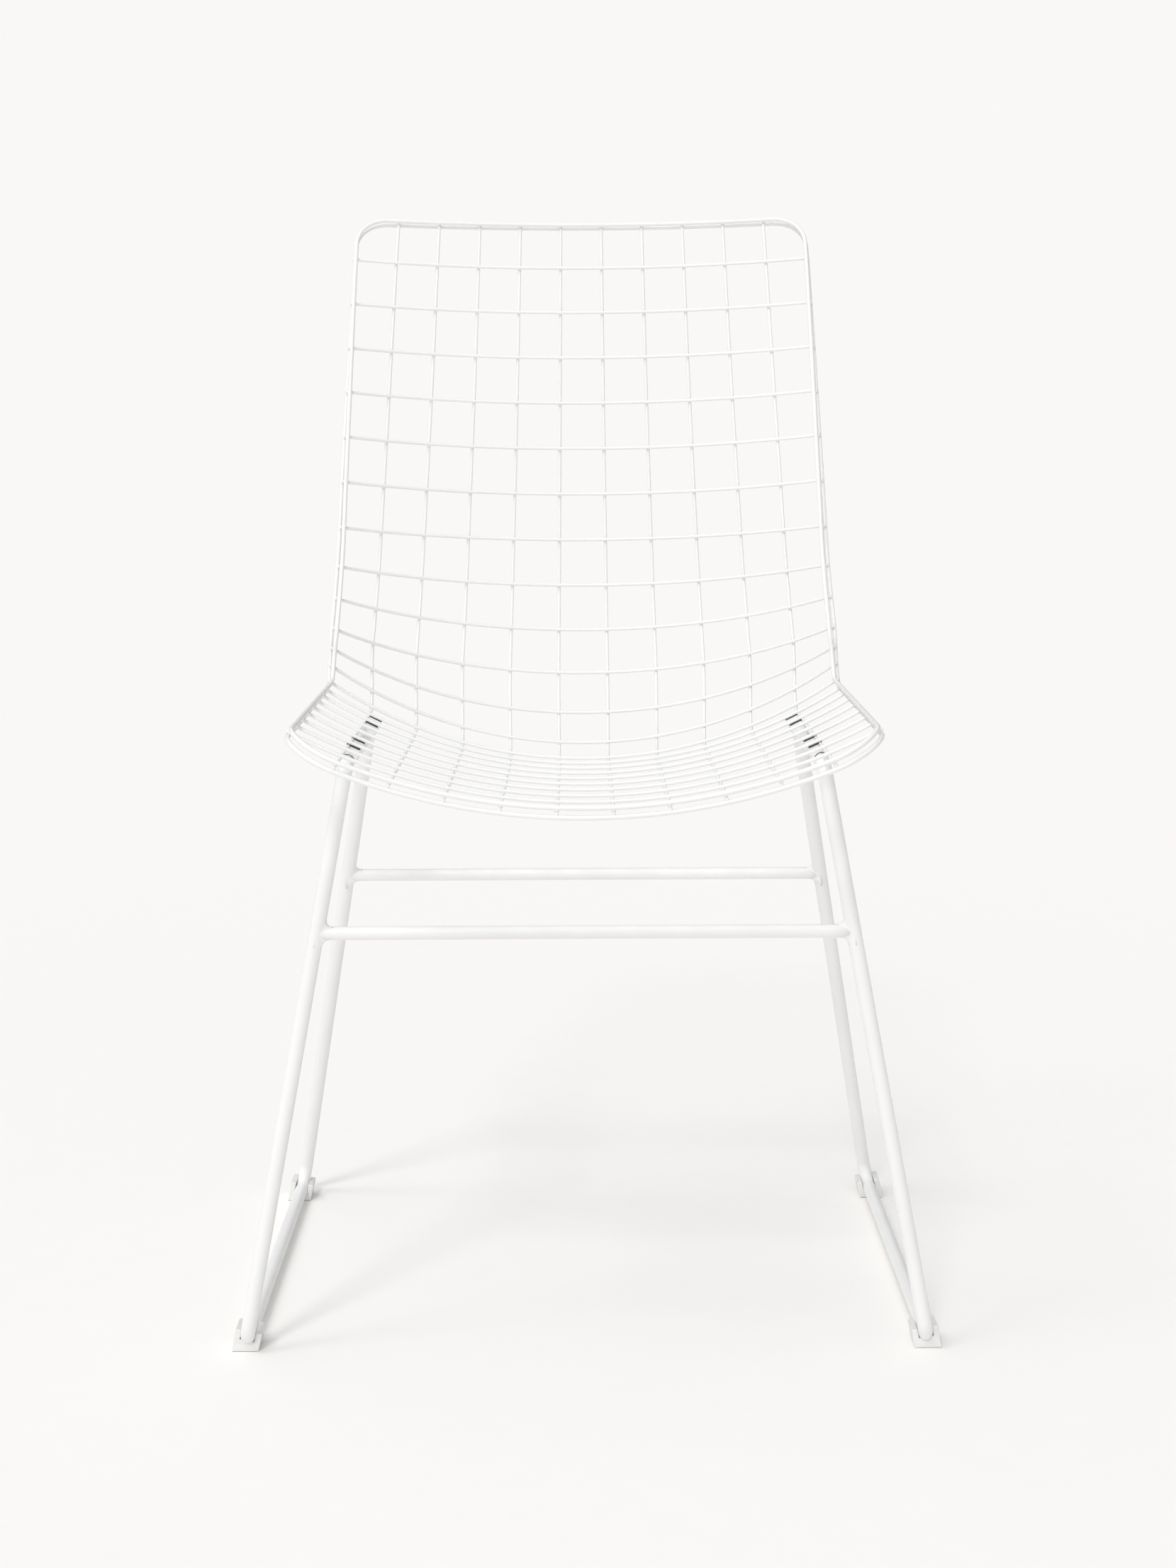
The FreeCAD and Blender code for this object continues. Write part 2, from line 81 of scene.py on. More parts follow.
# sled base
FRAME_ROD = 11.2
SPLAY = math.radians(10.9)
RUNNER_HALF_SPACING = 255.4
RUNNER_HEIGHT = 9.3
FOOT_SETBACK = {"front": 132.0, "rear": 523.5}
LEG_LEAN = {"front": math.radians(2.6), "rear": math.radians(26.3)}
FOOT_BEND = 16.0
TOP_BEND = {"front": 12.0, "rear": 14.0}
STRETCHER_HEIGHT = {"front": 324.7, "rear": 320.6}
# glides and clips
GLIDE_WIDTH = 20.0
GLIDE_WALL_RISE = 6.6
GLIDE_LENGTH = 24.0
FIT_GAP = 0.15
GLIDE_SETBACK = 17.0
CLIP_ROW = {"front": 18.45, "rear": 14.75}
BAR_DROP = 15.0
CLIP_WIDTH = 11.4
CLIP_LENGTH = 46.0
CLIP_SKIRT = 3.0
HEAD_DIAMETER = 7.6
HEAD_HEIGHT = 2.6

# looks: the solids' rods have flat sides, these are round and no thicker than the solids' corners
WIRE_RADIUS = 1.4
RIM_RADIUS = 1.78
FRAME_RADIUS = 5.56
STRETCHER_RADIUS = 4.95
TUBE_STEPS = 24
# along and radius of a sawn, painted wire end, as shares of the end's length and of the radius
WIRE_END = ((0.0, 0.62), (0.12, 0.82), (0.45, 0.96), (1.0, 1.0))
WIRE_END_LENGTH = 0.45
# weld metal: half widths are drawn between two values, half heights are fixed
CROSSING_WELD = (1.25, 1.5)
CROSSING_WELD_LONGER = (0.9, 1.1)
CROSSING_WELD_HEIGHT = 0.85
RIM_WELD = (1.3, 1.6)
RIM_WELD_HEIGHT = 0.8
FILLET = 6.0
LEAST_FILLET = 0.15
FILLET_ROOT = 0.8
SKIN = 0.04
# moulded pieces
GLIDE_BED_DROP = 1.0
GLIDE_PLAY = 0.01
GLIDE_FLOOR = 0.05
GLIDE_TRIM = 0.1
GLIDE_ROUNDING = 0.8
CLIP_ROUNDING = 0.9
CLIP_ROWS = {"front": (18, 19), "rear": (14, 15)}
LINER_HEIGHT = 0.4
LINER_LENGTH = 3.6
LINER_INSET = 0.5
LINER_ROUNDING = 0.35
# screw heads: the recess has two crossed blades, each with a narrow root and a wide mouth
HEAD_EDGE = 0.35
HEAD_FLAT = 0.55
RECESS_DEPTH = 1.5
RECESS_ROOT = (1.3, 0.6)
RECESS_MOUTH = (4.2, 1.0)
# steps along and across the shell for its slopes
PROBE = 0.5
SIDE_PROBE = 0.01

random.seed(7)


# The shell's surface


def profile_stretches():
    """Length and turn of each stretch of the shell's middle line, front to top."""
    low = math.pi / 2 - BACK_LEAN_LOW + SEAT_FALL
    sweep = BACK_LEAN_LOW - BACK_LEAN_HIGH
    return (
        (SEAT_RUN, 0.0),
        (SEAT_BEND_RADIUS * low, low),
        (BACK_SWEEP_RADIUS * sweep, sweep),
        (BACK_RUN, 0.0),
        (TOP_CURL_RUN, BACK_LEAN_HIGH - TOP_LEAN),
    )


STRETCHES = profile_stretches()
SHELL_RUN = sum(length for length, turn in STRETCHES)
ROW_GAP = SHELL_RUN / (CROSS_COUNT + 1)


def middle_line(station):
    """The middle line's point and heading at a distance from the seat's front edge."""
    y, z, heading = 0.0, SEAT_FRONT_HEIGHT, -SEAT_FALL
    left = station
    for index, (length, turn) in enumerate(STRETCHES):
        step = left if index == len(STRETCHES) - 1 else min(left, length)
        if turn:
            radius = length / turn
            ahead = heading + step / radius
            y += radius * (math.sin(ahead) - math.sin(heading))
            z += radius * (math.cos(heading) - math.cos(ahead))
            heading = ahead
        else:
            y += step * math.cos(heading)
            z += step * math.sin(heading)
        left -= step
        if left <= 0:
            break
    return y, z, heading


def half_width(station):
    front_slope = (WIDEST_HALF_WIDTH - FRONT_HALF_WIDTH) / WIDEST_STATION
    back_slope = (TOP_HALF_WIDTH - WIDEST_HALF_WIDTH) / (SHELL_RUN - WIDEST_STATION)
    past = station - WIDEST_STATION
    if past < -WIDEST_ROUNDING:
        grow = front_slope * past
    elif past > WIDEST_ROUNDING:
        grow = back_slope * past
    else:
        blend = (past + WIDEST_ROUNDING) ** 2 / (4 * WIDEST_ROUNDING)
        grow = front_slope * past + (back_slope - front_slope) * blend
    return WIDEST_HALF_WIDTH + grow


def dish(station):
    if station <= SEAT_DISH_STATION:
        return FRONT_DISH + (SEAT_DISH - FRONT_DISH) * station / SEAT_DISH_STATION
    if station <= WAIST_DISH_STATION:
        part = (station - SEAT_DISH_STATION) / (WAIST_DISH_STATION - SEAT_DISH_STATION)
        return SEAT_DISH + (WAIST_DISH - SEAT_DISH) * (1 - math.cos(math.pi * part)) / 2
    up = (station - WAIST_DISH_STATION) / (SHELL_RUN - WAIST_DISH_STATION)
    return WAIST_DISH - (WAIST_DISH - TOP_DISH) * up**DISH_EASE


def cross_arc(station):
    """Radius and half angle of the arc from side to side."""
    width, depth = half_width(station), dish(station)
    return (width**2 + depth**2) / (2 * depth), 2 * math.atan(depth / width)


def half_girth(station):
    radius, half_angle = cross_arc(station)
    return radius * half_angle


def bare_surface(fraction, station):
    radius, half_angle = cross_arc(station)
    y, z, heading = middle_line(station)
    rise = radius * (1 - math.cos(fraction * half_angle))
    side = radius * math.sin(fraction * half_angle)
    return Vector((side, y - math.sin(heading) * rise, z + math.cos(heading) * rise))


def sideways(fraction, station):
    """The shell's slope from side to side."""
    outer = bare_surface(fraction + SIDE_PROBE, station)
    return outer - bare_surface(fraction - SIDE_PROBE, station)


def surface_normal(fraction, station):
    along = bare_surface(fraction, station + PROBE) - bare_surface(fraction, station - PROBE)
    return sideways(fraction, station).cross(along).normalized()


ROD_OFFSET = (WIRE + RIM_ROD) / 2 + WELD_GAP
LONG_OFFSET = -WIRE - WELD_GAP


def chair_depth_middle():
    """Half way between the rims at the seat's front and at the top of the back."""
    front = bare_surface(0, 0).y + surface_normal(0, 0).y * (LONG_OFFSET + ROD_OFFSET)
    top = surface_normal(0, SHELL_RUN) * (LONG_OFFSET - ROD_OFFSET)
    return (front + bare_surface(0, SHELL_RUN).y + top.y) / 2


MIDDLE_Y = chair_depth_middle()


def surface(fraction, station, lift=0.0):
    point = bare_surface(fraction, station) + surface_normal(fraction, station) * lift
    return point - Vector((0, MIDDLE_Y, 0))


def long_fraction(number):
    middle = (LONG_COUNT + 1) / 2
    return (number - middle) / middle


def row_station(row):
    return SHELL_RUN - row * ROW_GAP


# The sled base's middle lines


def bar_point(row):
    """The top bar's y and rise under a row of the mesh, and the mesh's fraction over it."""
    station = row_station(row)
    radius, half_angle = cross_arc(station)
    x = RUNNER_HALF_SPACING
    for _ in range(30):
        fraction = math.asin(x / radius) / half_angle
        over = surface(fraction, station)
        height = over.z - BAR_DROP - RUNNER_HEIGHT
        x = RUNNER_HALF_SPACING - height * math.tan(SPLAY)
    return over.y, height / math.cos(SPLAY), fraction


def frame_place(side):
    """From the frame's own y and rise to the chair."""
    spot = Matrix.Translation((side * RUNNER_HALF_SPACING, 0, RUNNER_HEIGHT))
    return spot @ Matrix.Rotation(-side * SPLAY, 4, "Y")


def frame_corners():
    """Front foot, rear foot, rear top and front top, as y and rise."""
    front_y, front_rise, _ = bar_point(CLIP_ROW["front"])
    rear_y, rear_rise, _ = bar_point(CLIP_ROW["rear"])
    slope = (rear_rise - front_rise) / (rear_y - front_y)
    feet, tops = [], []
    for end in ("front", "rear"):
        forward = math.tan(LEG_LEAN[end]) * math.cos(SPLAY)
        foot_y = FOOT_SETBACK[end] - MIDDLE_Y
        rise = (front_rise + slope * (foot_y - front_y)) / (1 + slope * forward)
        feet.append(Vector((0, foot_y, 0)))
        tops.append(Vector((0, foot_y - forward * rise, rise)))
    return feet[0], feet[1], tops[1], tops[0]


def rounded_loop(corners, radii, turn_steps=10, straight_steps=12):
    """Points along straight runs and round arcs at the corners, once round."""
    count = len(corners)
    arcs = []
    for index, (corner, radius) in enumerate(zip(corners, radii)):
        back = (corners[index - 1] - corner).normalized()
        ahead = (corners[(index + 1) % count] - corner).normalized()
        half = back.angle(ahead) / 2
        reach = radius / math.tan(half)
        centre = corner + (back + ahead).normalized() * (radius / math.sin(half))
        begin, end = corner + back * reach - centre, corner + ahead * reach - centre
        turn = begin.angle(end)
        arc = []
        for step in range(turn_steps + 1):
            part = step / turn_steps
            spread = begin * math.sin((1 - part) * turn) + end * math.sin(part * turn)
            arc.append(centre + spread / math.sin(turn))
        arcs.append(arc)
    points = []
    for index, arc in enumerate(arcs):
        points += arc
        following = arcs[(index + 1) % count][0]
        for step in range(1, straight_steps):
            points.append(arc[-1].lerp(following, step / straight_steps))
    return points


# Meshes


def add_piece(name, mesh, material, nodes=()):
    piece = bpy.data.objects.new(name, mesh)
    bpy.context.scene.collection.objects.link(piece)
    mesh.materials.append(material)
    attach(piece, "root")
    if nodes:
        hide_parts(*nodes)
    return piece


def mesh_of(name, built, smooth=True):
    bmesh.ops.recalc_face_normals(built, faces=built.faces[:])
    mesh = bpy.data.meshes.new(name)
    built.to_mesh(mesh)
    built.free()
    mesh.polygons.foreach_set("use_smooth", [smooth] * len(mesh.polygons))
    return mesh


def tangents(points, closed):
    count = len(points)
    result = []
    for index in range(count):
        before = points[index - 1] if closed or index else points[0]
        last = index + 1 == count and not closed
        after = points[-1] if last else points[(index + 1) % count]
        result.append((after - before).normalized())
    return result


def add_tube(built, points, radii, sides, closed=False):
    """A round rod along points in millimetres, carried along without twist."""
    heads = tangents(points, closed)
    across = heads[0].orthogonal().normalized()
    frames = []
    for head in heads:
        across = (across - head * across.dot(head)).normalized()
        frames.append((across, head.cross(across)))
    # a closed rod's last ring is turned back bit by bit so that it meets the first
    spare = 0.0
    if closed:
        first, beside = frames[0]
        end = frames[-1][0]
        end = (end - heads[0] * end.dot(heads[0])).normalized()
        spare = math.atan2(end.dot(beside), end.dot(first))
    rings = []
    for index, (point, (one, two)) in enumerate(zip(points, frames)):
        twist = -spare * index / len(points)
        ring = []
        for side in range(sides):
            angle = 2 * math.pi * side / sides + twist
            offset = one * math.cos(angle) + two * math.sin(angle)
            ring.append(built.verts.new((point + offset * radii[index]) * MM))
        rings.append(ring)
    pairs = list(zip(rings, rings[1:]))
    if closed:
        pairs.append((rings[-1], rings[0]))
    for near, far in pairs:
        for side in range(sides):
            after = (side + 1) % sides
            built.faces.new((near[side], near[after], far[after], far[side]))
    if not closed:
        built.faces.new(rings[0][::-1])
        built.faces.new(rings[-1])


def with_cut_ends(points, radius):
    """The points and radii of a rod whose sawn ends have a slightly rounded, painted edge."""
    edge = radius * WIRE_END_LENGTH
    head = (points[1] - points[0]).normalized()
    tail = (points[-1] - points[-2]).normalized()
    start = [points[0] + head * (edge * along) for along, _ in WIRE_END]
    end = [points[-1] - tail * (edge * along) for along, _ in WIRE_END[::-1]]
    radii = [radius * share for _, share in WIRE_END]
    ends = (points[0], points[-1])
    inner = [p for p in points[1:-1] if min((p - tip).length for tip in ends) > edge]
    return start + inner + end, radii + [radius] * len(inner) + radii[::-1]


def wire_mesh(name, points, radius, sides=12):
    built = bmesh.new()
    add_tube(built, *with_cut_ends(points, radius), sides)
    return mesh_of(name, built)


def rim_half(side):
    """Points of half a rim rod from the middle of the front round to the middle of the top."""
    along_edge = side * ROD_OFFSET
    at_ends = LONG_OFFSET + side * ROD_OFFSET
    turn_steps, end_steps, edge_steps = 14, 30, 88

    def corner(radius, station_at):
        turned = []
        for step in range(turn_steps + 1):
            angle = math.pi / 2 * step / turn_steps
            station = station_at(radius * (1 - math.sin(angle)))
            inset = radius * (1 - math.cos(angle)) / half_girth(station)
            lift = along_edge + (at_ends - along_edge) * math.sin(angle) ** 2
            turned.append((1 - inset, station, lift))
        return turned

    front = corner(FRONT_CORNER, lambda inset: inset)
    top = corner(TOP_CORNER, lambda inset: SHELL_RUN - inset)
    places = [(front[-1][0] * step / end_steps, 0.0, at_ends) for step in range(end_steps)]
    places += front[::-1]
    low, high = front[0][1], top[0][1]
    for step in range(1, edge_steps):
        places.append((1.0, low + (high - low) * step / edge_steps, along_edge))
    places += top
    for step in range(1, end_steps + 1):
        places.append((top[-1][0] * (1 - step / end_steps), SHELL_RUN, at_ends))
    return [surface(*place) for place in places]


def rim_mesh(name, side):
    half = rim_half(side)
    other = [Vector((-point.x, point.y, point.z)) for point in half[-2:0:-1]]
    points = half + other
    built = bmesh.new()
    add_tube(built, points, [RIM_RADIUS] * len(points), 14, closed=True)
    return mesh_of(name, built)


def add_blob(built, centre, axes, sizes, segments=10, rings=6):
    """A flattened drop of weld metal: axes are its directions, sizes its half lengths."""
    rows = []
    for ring in range(1, rings):
        polar = math.pi * ring / rings
        row = []
        for segment in range(segments):
            turn = 2 * math.pi * segment / segments
            flat = math.sin(polar)
            local = (flat * math.cos(turn), flat * math.sin(turn), math.cos(polar))
            point = centre.copy()
            for axis, size, amount in zip(axes, sizes, local):
                point += axis * (size * amount)
            row.append(built.verts.new(point * MM))
        rows.append(row)
    for near, far in zip(rows, rows[1:]):
        for segment in range(segments):
            after = (segment + 1) % segments
            built.faces.new((near[segment], near[after], far[after], far[segment]))
    for row, sign in ((rows[0], 1), (rows[-1], -1)):
        tip = built.verts.new((centre + axes[2] * (sizes[2] * sign)) * MM)
        for segment in range(segments):
            built.faces.new((tip, row[segment], row[(segment + 1) % segments]))


def surface_axes(fraction, station):
    up = surface_normal(fraction, station)
    across = sideways(fraction, station)
    across = (across - up * across.dot(up)).normalized()
    return across, up.cross(across), up


def crossing_welds():
    """A small squeezed-out collar where each pair of wires was pressed together."""
    built = bmesh.new()
    for row in range(1, CROSS_COUNT + 1):
        for number in range(1, LONG_COUNT + 1):
            fraction, station = long_fraction(number), row_station(row)
            spot = surface(fraction, station, LONG_OFFSET / 2)
            size = random.uniform(*CROSSING_WELD)
            longer = size * random.uniform(*CROSSING_WELD_LONGER)
            sizes = (size, longer, CROSSING_WELD_HEIGHT)
            add_blob(built, spot, surface_axes(fraction, station), sizes)
    return mesh_of("crossing_welds", built)


def rim_welds():
    """Spots that tie the cross wires' ends and the long wires' ends to both rim rods."""
    built = bmesh.new()
    seat = ROD_OFFSET - RIM_ROD / 2 - WELD_GAP / 2

    def add_pair(fraction, station, lift):
        for side in (-1, 1):
            spot = surface(fraction, station, lift + side * seat)
            size = random.uniform(*RIM_WELD)
            add_blob(built, spot, surface_axes(fraction, station), (size, size, RIM_WELD_HEIGHT))

    for row in range(1, CROSS_COUNT + 1):
        for edge in (-1, 1):
            add_pair(edge, row_station(row), 0.0)
    for number in range(1, LONG_COUNT + 1):
        for station in (0.0, SHELL_RUN):
            add_pair(long_fraction(number), station, LONG_OFFSET)
    return mesh_of("rim_welds", built)


def frame_mesh(name, side):
    corners = frame_corners()
    place = frame_place(side)
    loop = rounded_loop(corners, (FOOT_BEND, FOOT_BEND, TOP_BEND["rear"], TOP_BEND["front"]))
    points = [place @ point for point in loop]
    built = bmesh.new()
    add_tube(built, points, [FRAME_RADIUS] * len(points), 28, closed=True)
    return mesh_of(name, built)


def leg_line(end):
    """A point of the left leg's middle line at the stretcher, and the leg's direction."""
    front_foot, rear_foot, rear_top, front_top = frame_corners()
    low, high = (front_foot, front_top) if end == "front" else (rear_foot, rear_top)
    rise = (STRETCHER_HEIGHT[end] - RUNNER_HEIGHT) / math.cos(SPLAY)
    spot = Vector((0, low.y + (high.y - low.y) * rise / high.z, rise))
    place = frame_place(1)
    return place @ spot, (place.to_3x3() @ (high - low)).normalized()


def stretcher_mesh(name, end):
    spot, _ = leg_line(end)
    reach = spot.x - FRAME_RADIUS * 0.1
    places = [-reach + 2 * reach * step / TUBE_STEPS for step in range(TUBE_STEPS + 1)]
    points = [Vector((x, spot.y, spot.z)) for x in places]
    built = bmesh.new()
    add_tube(built, points, [STRETCHER_RADIUS] * len(points), 28)
    return mesh_of(name, built)


def leg_skin(spot, head, ray, reach):
    """Where a line along the stretcher, at a reach from its middle, meets the leg's skin."""
    offset = ray * reach
    flat = Vector((1, 0, 0)) - head * head.x
    side = offset - head * offset.dot(head)
    a, b, c = flat.dot(flat), flat.dot(side), side.dot(side) - FRAME_RADIUS**2
    along = (-b - math.sqrt(max(b * b - a * c, 0.0))) / a
    return spot + offset + Vector((along, 0, 0))


def fillet_mesh(name, end, side):
    """The smooth hollow fillet of weld round the joint of a stretcher and a leg."""
    spot, head = leg_line(end)
    inwards = Vector((-1, 0, 0))
    around, across = 96, 8
    phase = random.uniform(0, math.pi)
    built = bmesh.new()
    rings = []
    for turn in range(around):
        angle = 2 * math.pi * turn / around
        ray = Vector((0, math.cos(angle), math.sin(angle)))
        ripple = 1 + 0.04 * math.sin(17 * angle + phase) + 0.05 * math.sin(2 * angle + phase)
        room = 0.96 * FRAME_RADIUS / max(abs(math.cos(angle)), 0.01) - STRETCHER_RADIUS
        size = min(FILLET * ripple, max(room, LEAST_FILLET))
        joint = leg_skin(spot, head, ray, STRETCHER_RADIUS)
        on_bar = joint + inwards * size - ray * SKIN
        on_leg = leg_skin(spot, head, ray, STRETCHER_RADIUS + size) - inwards * SKIN
        ring = []
        for step in range(across + 1):
            part = step / across
            near, far = on_bar.lerp(joint, part), joint.lerp(on_leg, part)
            ring.append(near.lerp(far, part))
        ring.append(joint - inwards * FILLET_ROOT - ray * FILLET_ROOT)
        rings.append([built.verts.new(Vector((p.x * side, p.y, p.z)) * MM) for p in ring])
    count = across + 2
    for near, far in zip(rings, rings[1:] + rings[:1]):
        for step in range(count):
            after = (step + 1) % count
            built.faces.new((near[step], near[after], far[after], far[step]))
    return mesh_of(name, built)


def add_round_edges(piece, width, segments=4, angle=35):
    bevel = piece.modifiers.new("rounded_edges", "BEVEL")
    bevel.width = width * MM
    bevel.segments = segments
    bevel.limit_method = "ANGLE"
    bevel.angle_limit = math.radians(angle)
    bevel.harden_normals = False
    weighted = piece.modifiers.new("even_shading", "WEIGHTED_NORMAL")
    weighted.keep_sharp = False


def extruded(name, corners, direction, length):
    """A solid of one outline, pushed both ways along direction."""
    built = bmesh.new()
    near = [built.verts.new((corner - direction * length / 2) * MM) for corner in corners]
    far = [built.verts.new((corner + direction * length / 2) * MM) for corner in corners]
    count = len(corners)
    for index in range(count):
        after = (index + 1) % count
        built.faces.new((near[index], near[after], far[after], far[index]))
    built.faces.new(near[::-1])
    built.faces.new(far)
    return mesh_of(name, built)


def glide_mesh(name, side, y):
    """A channel with straight walls in line with the frame and the runner sunk between them."""
    centre = Vector((side * RUNNER_HALF_SPACING, y, RUNNER_HEIGHT))
    up = Vector((-side * math.sin(SPLAY), 0, math.cos(SPLAY)))
    out = Vector((up.z, 0, -up.x))
    corners = []
    for hand in (-1, 1):
        wall = centre + out * (hand * GLIDE_WIDTH / 2)
        lip = centre + out * (hand * (FRAME_RADIUS + GLIDE_PLAY))
        foot = wall - up * ((wall.z - GLIDE_FLOOR) / up.z)
        rise = up * GLIDE_WALL_RISE
        corners.append((foot, wall + rise, lip + rise, lip - up * GLIDE_BED_DROP))
    outline = list(corners[0]) + list(corners[1][::-1])
    return extruded(name, outline, Vector((0, 1, 0)), GLIDE_LENGTH - GLIDE_TRIM)


def clip_place(end, side):
    """On the bar's middle line: X outwards along the shell, Y rearwards, Z square to both."""
    y, rise, fraction = bar_point(CLIP_ROW[end])
    place = frame_place(side)
    centre = place @ Vector((0, y, rise))
    _, _, rear_top, front_top = frame_corners()
    along = (place.to_3x3() @ (rear_top - front_top)).normalized()
    normal = surface_normal(fraction, row_station(CLIP_ROW[end]))
    normal.x *= side
    upward = (normal - along * normal.dot(along)).normalized()
    outward = along.cross(upward)
    turned = Matrix((outward, along, upward)).transposed().to_4x4()
    return Matrix.Translation(centre) @ turned, fraction


def in_metres(place):
    """The same turn, with its shift in metres, for a mesh that is in metres already."""
    return Matrix.Translation(place.translation * MM) @ place.to_3x3().to_4x4()


def clip_mesh(name, end, side):
    """A saddle over the bar, stepped down where the outer long wire passes under the shell."""
    place, fraction = clip_place(end, side)
    station = row_station(CLIP_ROW[end])
    over = surface(fraction, station)
    over.x *= side
    wire = surface(long_fraction(LONG_COUNT), station, LONG_OFFSET)
    wire.x *= side
    local = place.inverted()
    crest = (local @ over).z - WIRE / 2 - 2 * FIT_GAP - LINER_HEIGHT
    at_wire = local @ wire
    step_floor = at_wire.z - WIRE / 2 - 2 * FIT_GAP
    step = side * (abs(at_wire.x) - WIRE / 2 - 2 * FIT_GAP)
    bore = FRAME_ROD / 2 + FIT_GAP
    half = CLIP_WIDTH / 2
    inner = math.sqrt(bore**2 - CLIP_SKIRT**2)
    outline = [
        Vector((-side * half, 0, CLIP_SKIRT)),
        Vector((-side * half, 0, crest)),
        Vector((step, 0, crest)),
        Vector((step, 0, step_floor)),
        Vector((side * half, 0, step_floor)),
        Vector((side * half, 0, CLIP_SKIRT)),
    ]
    start = math.atan2(CLIP_SKIRT, inner)
    arc_steps = 12
    for part in range(arc_steps + 1):
        angle = start + (math.pi - 2 * start) * part / arc_steps
        outline.append(Vector((side * bore * math.cos(angle), 0, bore * math.sin(angle))))
    mesh = extruded(name, outline, Vector((0, 1, 0)), CLIP_LENGTH)
    mesh.transform(in_metres(place))
    return mesh


def liner_mesh(name, end, side):
    """Soft strips on a clip, one across under each wire that it carries."""
    place, fraction = clip_place(end, side)
    local = place.inverted()
    # how far a liner reaches up round the wire and down into the clip
    wrap, sunk = WIRE * 0.42, WIRE * 0.12
    built = bmesh.new()
    for row in CLIP_ROWS[end]:
        station = row_station(row)
        over = surface(fraction, station)
        over.x *= side
        spot = local @ over
        top = spot.z - wrap
        bottom = top - LINER_HEIGHT - sunk
        half, reach = CLIP_WIDTH / 2 - LINER_INSET, LINER_LENGTH / 2
        corners = []
        for x in (-half, half):
            for y, z in ((-reach, bottom), (-reach, top), (reach, top), (reach, bottom)):
                corners.append(built.verts.new(Vector((x, spot.y + y, z)) * MM))
        for low, high in ((0, 1), (1, 2), (2, 3), (3, 0)):
            built.faces.new((corners[low], corners[high], corners[high + 4], corners[low + 4]))
        built.faces.new(corners[:4])
        built.faces.new(corners[4:][::-1])
    mesh = mesh_of(name, built)
    mesh.transform(in_metres(place))
    return mesh


def screw_head_mesh():
    """A pan head with a crossed recess, its rim at z = 0 and its crown downwards, in metres."""
    built = bmesh.new()
    radius, height = HEAD_DIAMETER / 2, HEAD_HEIGHT
    profile = [(radius, 0.0), (radius, -HEAD_EDGE * height)]
    crown_steps, segments = 6, 32
    for step in range(1, crown_steps + 1):
        angle = math.pi / 2 * step / crown_steps
        reach = radius * (HEAD_FLAT + (1 - HEAD_FLAT) * math.cos(angle))
        profile.append((reach, -height * (HEAD_EDGE + (1 - HEAD_EDGE) * math.sin(angle))))
    profile.append((0.0, -height))
    turns = [2 * math.pi * step / segments for step in range(segments)]
    rings = []
    for reach, z in profile:
        around = turns if reach else turns[:1]
        spots = [Vector((reach * math.cos(t), reach * math.sin(t), z)) for t in around]
        rings.append([built.verts.new(spot * MM) for spot in spots])
    for near, far in zip(rings, rings[1:]):
        for step in range(segments):
            after = (step + 1) % segments
            if len(far) == 1:
                built.faces.new((near[step], near[after], far[0]))
            else:
                built.faces.new((near[step], near[after], far[after], far[step]))
    built.faces.new(rings[0][::-1])
    head = bpy.data.objects.new("head_blank", mesh_of("head_blank", built))
    bpy.context.scene.collection.objects.link(head)
    cutters = []
    for turn in (0, math.pi / 2):
        blade = bmesh.new()
        bmesh.ops.create_cube(blade, size=1)
        for vert in blade.verts:
            deep = vert.co.z > 0
            long, wide = RECESS_ROOT if deep else RECESS_MOUTH
            vert.co.x *= long * MM
            vert.co.y *= wide * MM
            vert.co.z = (-height + (RECESS_DEPTH if deep else -0.5)) * MM
        bmesh.ops.rotate(blade, verts=blade.verts, matrix=Matrix.Rotation(turn, 3, "Z"))
        cutter = bpy.data.objects.new("recess_cutter", mesh_of("recess_cutter", blade, False))
        bpy.context.scene.collection.objects.link(cutter)
        cutters.append(cutter)
        cut = head.modifiers.new("recess", "BOOLEAN")
        cut.operation = "DIFFERENCE"
        cut.solver = "EXACT"
        cut.object = cutter
    shaped = head.evaluated_get(bpy.context.evaluated_depsgraph_get())
    mesh = bpy.data.meshes.new_from_object(shaped)
    for extra in [head] + cutters:
        bpy.data.objects.remove(extra)
    return mesh


def screws_mesh(name):
    head = screw_head_mesh()
    under = -FRAME_ROD / 2 - FIT_GAP
    built = bmesh.new()
    for _, side in SIDES:
        for end in ("front", "rear"):
            place, _ = clip_place(end, side)
            spin = Matrix.Rotation(random.uniform(0, math.pi), 4, "Z")
            copy = head.copy()
            copy.transform(Matrix.Translation((0, 0, under * MM)) @ spin)
            copy.transform(in_metres(place))
            built.from_mesh(copy)
            bpy.data.meshes.remove(copy)
    mesh = bpy.data.meshes.new(name)
    built.to_mesh(mesh)
    built.free()
    return mesh


# Materials


def new_material(name):
    material = bpy.data.materials.new(name)
    material.use_nodes = True
    nodes = material.node_tree.nodes
    return material, nodes, material.node_tree.links, nodes["Principled BSDF"]


def add_noise(nodes, links, coordinates, scale, detail=2.0):
    noise = nodes.new("ShaderNodeTexNoise")
    noise.inputs["Scale"].default_value = scale
    noise.inputs["Detail"].default_value = detail
    links.new(coordinates.outputs["Object"], noise.inputs["Vector"])
    return noise


def add_ramp(nodes, links, source, low, high, start=0.3, end=0.7):
    """Spreads a texture's values between two colours."""
    ramp = nodes.new("ShaderNodeValToRGB")
    ramp.color_ramp.elements[0].position = start
    ramp.color_ramp.elements[1].position = end
    ramp.color_ramp.elements[0].color = (*low, 1)
    ramp.color_ramp.elements[1].color = (*high, 1)
    links.new(source.outputs["Fac"], ramp.inputs["Fac"])
    return ramp


